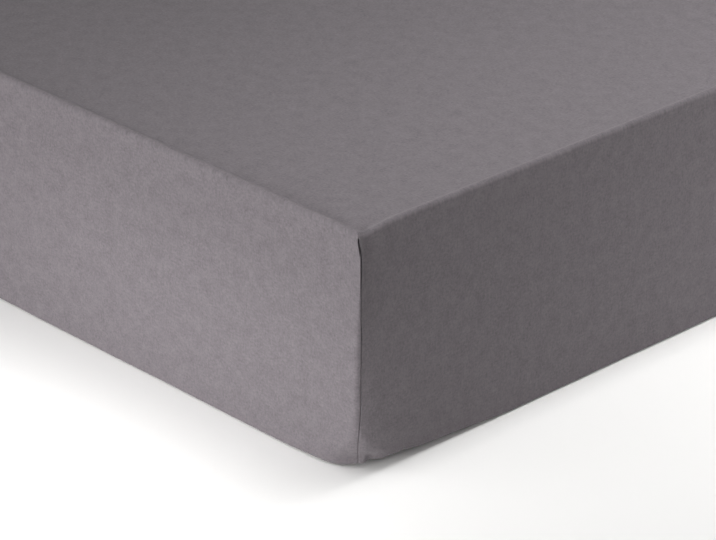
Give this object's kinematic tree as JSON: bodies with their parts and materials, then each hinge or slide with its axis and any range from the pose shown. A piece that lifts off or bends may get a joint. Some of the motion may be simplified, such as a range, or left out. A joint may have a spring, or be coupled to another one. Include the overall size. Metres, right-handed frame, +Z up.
{
  "type": "fitted sheet on a mattress",
  "caption": "Plain elasticated fitted sheet of soft brushed cloth, pulled tight over a single mattress, with a sewn seam down each corner and the skirts turned in underneath.",
  "frame": {"origin": "on the surface it rests on, under the middle of the mattress", "axes": "+X across the mattress, +Y along it, +Z up"},
  "size_m": [0.9068, 2.0068, 0.2515],
  "materials": {
    "sheet_cloth": "matt brushed",
    "mattress_cover": "matt"
  },
  "bodies": {
    "root": {"fitted_sheet": "sheet_cloth", "mattress": "mattress_cover"}
  },
  "joints": []
}
